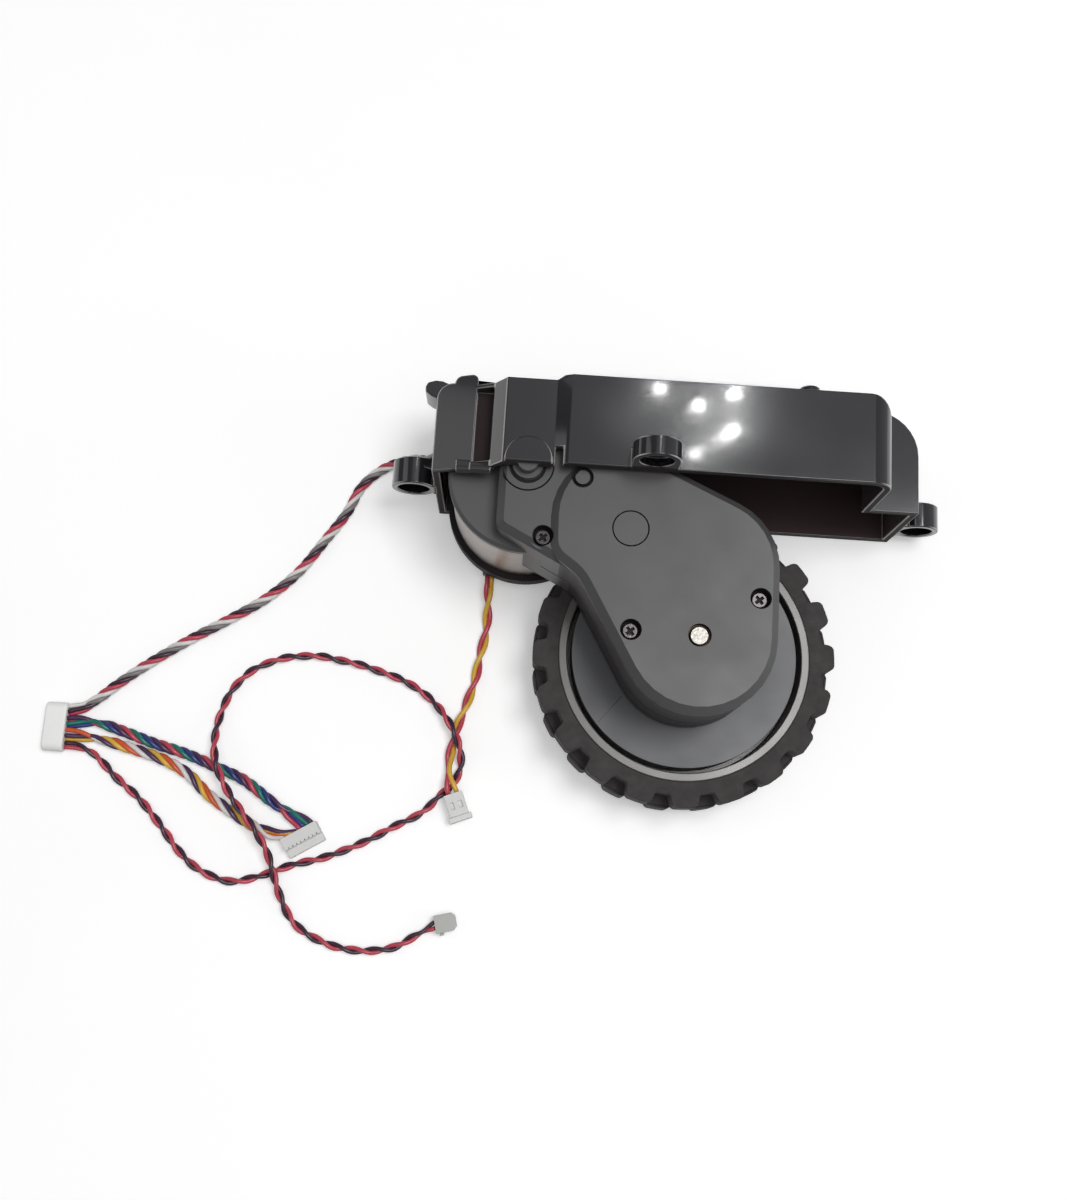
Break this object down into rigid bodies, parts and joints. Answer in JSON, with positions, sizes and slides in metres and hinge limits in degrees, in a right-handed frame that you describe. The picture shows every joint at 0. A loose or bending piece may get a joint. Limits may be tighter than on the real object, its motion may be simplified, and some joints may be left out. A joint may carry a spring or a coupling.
{
  "type": "wheel module",
  "caption": "Sprung drive wheel module: glossy housing, swinging gearbox arm with motor, geared lugged wheel, drop switch and wire leads.",
  "frame": {"origin": "middle of the bounding box without the cords, at the plane of the housing's rear wall", "axes": "+X along the housing, +Y towards the housing's roof (up in the robot), +Z out of the rear wall along the arm's pivot and the wheel's axle"},
  "size_m": [0.2057, 0.1284, 0.0546],
  "materials": {
    "housing_black": "glossy moulded black plastic",
    "case_grey": "fine matt dark grey plastic",
    "black_plastic": "matt black plastic",
    "bush_plastic": "natural bearing plastic",
    "bronze": "sintered bronze",
    "brass": "machined brass",
    "steel": "bright ground steel",
    "spring_steel": "drawn spring wire",
    "black_steel": "blackened screws",
    "motor_steel": "plated motor can",
    "lamination": "stacked laminations",
    "copper": "enamelled copper wire",
    "carbon": "carbon brush",
    "magnet": "sintered magnet",
    "board": "green circuit board",
    "gear_white": "white gear plastic",
    "gear_blue": "blue gear plastic",
    "rim_grey": "light grey rim plastic",
    "disc_grey": "dark grey disc",
    "tyre_rubber": "matt soft rubber",
    "connector_white": "white nylon",
    "main_wires": "red, black, white and grey insulated wires, twisted",
    "switch_wires": "red and black insulated wires, twisted",
    "signal_wires_1": "blue, green, red and purple insulated wires, twisted",
    "signal_wires_2": "yellow, white, orange and purple insulated wires, twisted",
    "motor_wires": "red and yellow insulated wires, twisted",
    "sleeve_black": "black rubber",
    "sleeve_white": "white shrunk sleeve"
  },
  "bodies": {
    "housing": {"housing": "housing_black", "pivot_bush": "bush_plastic", "wire_grommet": "sleeve_black", "drop_switch": "black_plastic", "switch_screws": "steel", "return_spring": "spring_steel", "main_cord": "main_wires", "harness_sleeve": "sleeve_white", "switch_cord": "switch_wires", "switch_connector": "connector_white", "signal_cord_1": "signal_wires_1", "signal_cord_2": "signal_wires_2", "signal_connector": "connector_white", "motor_cord": "motor_wires", "motor_connector": "connector_white"},
    "arm": {"gearbox_cover": "case_grey", "gearbox_case": "case_grey", "cover_screws": "black_steel", "motor_can": "motor_steel", "motor_end_bell": "black_plastic", "motor_magnets": "magnet", "motor_brushes": "carbon", "motor_bushes": "bronze", "motor_screws": "steel", "motor_rear_cap": "black_plastic", "rear_cap_screws": "steel", "encoder_board": "board", "motor_lead_gland": "sleeve_black", "gear_shaft_1": "steel", "gear_shaft_2": "steel", "gear_shaft_3": "steel", "axle_bush_front": "bronze", "axle_bush_rear": "bronze"},
    "wheel": {"wheel_axle": "steel", "output_gear": "gear_white", "wheel_rim": "rim_grey", "wheel_disc": "disc_grey", "tyre": "tyre_rubber", "wheel_cap": "disc_grey", "wheel_screw": "steel"},
    "rotor": {"motor_shaft": "steel", "armature_core": "lamination", "armature_windings": "copper", "commutator": "copper", "encoder_magnet": "magnet", "motor_pinion": "brass"},
    "switch_lever": {"switch_lever": "steel"},
    "gear_1": {"gear_1": "gear_white"},
    "gear_2": {"gear_2": "gear_white"},
    "gear_3": {"gear_3": "gear_blue"}
  },
  "joints": [
    {"name": "arm_swing", "type": "hinge", "parent": "housing", "child": "arm", "pos_m": [-0.0335, 0.02265, 0.02], "axis": [0, 0, 1], "range_deg": [0, 28], "stiffness_Nm_per_rad": 0.25, "springref_deg": -34.38, "deforming": ["return_spring", "motor_cord"]},
    {"name": "wheel_spin", "type": "hinge", "parent": "arm", "child": "wheel", "pos_m": [0.0042, -0.01215, 0.02], "axis": [0, 0, 1], "continuous": true},
    {"name": "gear_3_spin", "type": "hinge", "parent": "arm", "child": "gear_3", "pos_m": [0.00231, 0.00293, 0.03], "axis": [0, 0, 1], "continuous": true},
    {"name": "gear_2_spin", "type": "hinge", "parent": "arm", "child": "gear_2", "pos_m": [-0.01106, 0.00972, 0.034], "axis": [0, 0, 1], "continuous": true},
    {"name": "gear_1_spin", "type": "hinge", "parent": "arm", "child": "gear_1", "pos_m": [-0.02174, 0.02026, 0.036], "axis": [0, 0, 1], "continuous": true},
    {"name": "rotor_spin", "type": "hinge", "parent": "arm", "child": "rotor", "pos_m": [-0.0335, 0.02265, 0.024], "axis": [0, 0, 1], "continuous": true},
    {"name": "lever_swing", "type": "hinge", "parent": "housing", "child": "switch_lever", "pos_m": [-0.0105, 0.03785, 0.007], "axis": [0, 0, 1], "range_deg": [-2.8, 0]}
  ],
  "couplings": [
    {"joint": "gear_3_spin", "follows": "wheel_spin", "ratio": -2.1667},
    {"joint": "gear_2_spin", "follows": "wheel_spin", "ratio": 5.5714},
    {"joint": "gear_1_spin", "follows": "wheel_spin", "ratio": -16.714},
    {"joint": "rotor_spin", "follows": "wheel_spin", "ratio": 50.143},
    {"joint": "lever_swing", "follows": "arm_swing", "ratio": -0.1}
  ]
}
